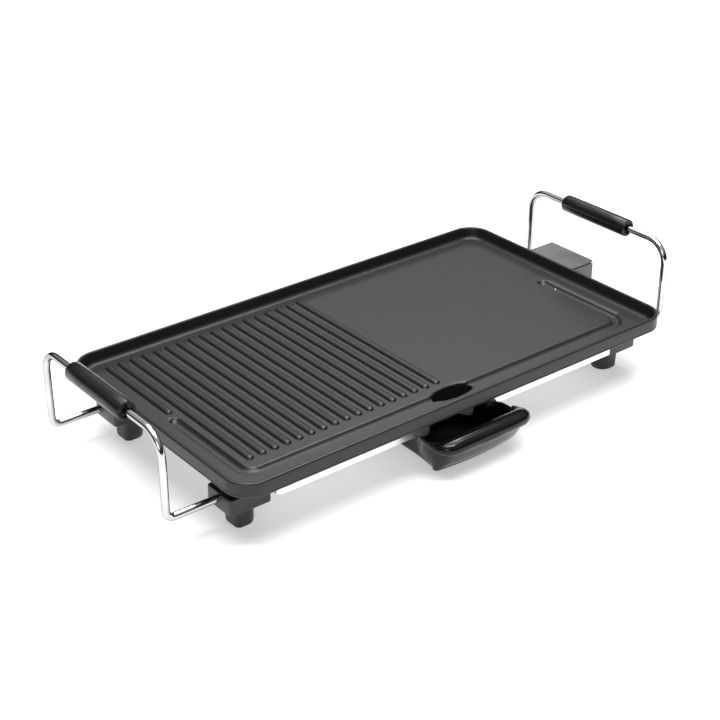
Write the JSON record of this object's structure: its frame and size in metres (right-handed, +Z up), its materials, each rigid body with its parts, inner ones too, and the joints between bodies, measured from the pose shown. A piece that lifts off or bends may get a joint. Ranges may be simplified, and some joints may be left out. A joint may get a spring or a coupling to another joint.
{
  "type": "electric griddle",
  "caption": "Electric griddle with a half ribbed, half flat non-stick plate, wire handles at both ends, a plug-in socket and a slide-out drip tray.",
  "frame": {"origin": "centre of the object's footprint, on the table under its feet", "axes": "+X along the plate towards the socket end, -Y towards the front where the drip tray slides out, +Z up"},
  "size_m": [0.5546, 0.2777, 0.1123],
  "materials": {
    "coating": "satin",
    "plastic": "satin",
    "gloss": "gloss",
    "chrome": "gloss",
    "steel": "satin",
    "bright": "satin",
    "painted": "satin",
    "element": "matte",
    "ceramic": "matte",
    "rubber": "matte"
  },
  "bodies": {
    "griddle": {"griddle_plate": "coating", "heating_element": "element", "terminal_pin_front": "steel", "ceramic_insulator_front": "ceramic", "shroud_screw_front": "steel", "terminal_pin_back": "steel", "ceramic_insulator_back": "ceramic", "shroud_screw_back": "steel", "probe_guide": "steel", "terminal_plate": "steel", "socket_shroud": "painted", "shroud_cover": "painted", "reflector_pan": "bright", "pan_screw_1": "steel", "pan_screw_2": "steel", "pan_screw_3": "steel", "pan_screw_4": "steel", "bracket_front_left": "plastic", "foot_pad_front_left": "rubber", "foot_screw_front_left": "steel", "wire_screw_front_left": "steel", "bracket_front_right": "plastic", "foot_pad_front_right": "rubber", "foot_screw_front_right": "steel", "wire_screw_front_right": "steel", "bracket_back_left": "plastic", "foot_pad_back_left": "rubber", "foot_screw_back_left": "steel", "wire_screw_back_left": "steel", "bracket_back_right": "plastic", "foot_pad_back_right": "rubber", "foot_screw_back_right": "steel", "wire_screw_back_right": "steel", "handle_wire_left": "chrome", "handle_grip_left": "plastic", "tray_rail_left": "steel", "rail_screw_left_1": "steel", "rail_screw_left_2": "steel", "handle_wire_right": "chrome", "handle_grip_right": "plastic", "tray_rail_right": "steel", "rail_screw_right_1": "steel", "rail_screw_right_2": "steel"},
    "drip_tray": {"drip_tray": "gloss"}
  },
  "joints": [
    {"name": "tray_slide", "type": "slide", "parent": "griddle", "child": "drip_tray", "axis": [0, -1, 0], "range_m": [0, 0.08]}
  ]
}
